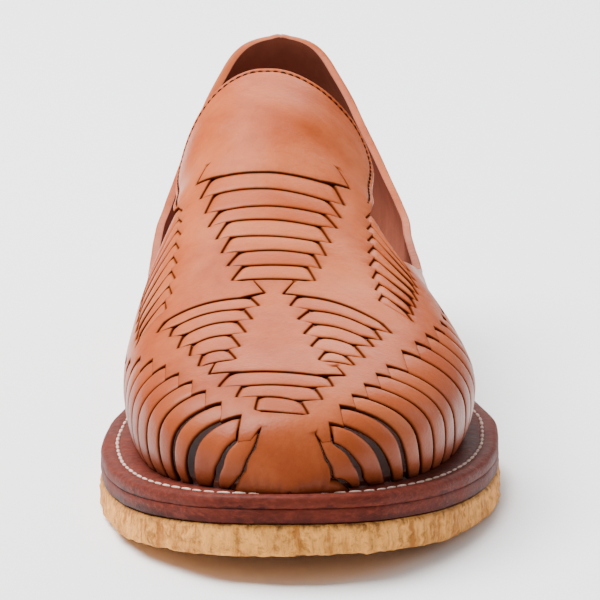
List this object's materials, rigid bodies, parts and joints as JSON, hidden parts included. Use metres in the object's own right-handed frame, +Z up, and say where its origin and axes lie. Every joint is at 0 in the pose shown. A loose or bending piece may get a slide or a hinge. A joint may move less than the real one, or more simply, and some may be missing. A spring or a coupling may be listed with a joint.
{
  "type": "woven leather slip-on shoe",
  "caption": "Left huarache slip-on: a tan woven leather upper with tongue and open sides, on a stitched leather welt and a crepe rubber sole with a low heel.",
  "frame": {"origin": "centre of the sole's bounding box in plan, at floor height", "axes": "+Y from toe to heel, +X towards the outer side of the left foot, +Z up"},
  "size_m": [0.1051, 0.295, 0.096],
  "materials": {
    "crepe": "rough cut, matte",
    "crepe_heel": "rough cut, matte",
    "midsole_leather": "stained edge, satin",
    "welt_leather": "smooth, satin",
    "footbed_leather": "natural, matte",
    "upper_leather": "smooth, semi-gloss"
  },
  "bodies": {
    "root": {"outsole": "crepe", "heel_lift": "crepe_heel", "midsole": "midsole_leather", "welt": "welt_leather", "insole": "footbed_leather", "upper": "upper_leather"}
  },
  "joints": []
}
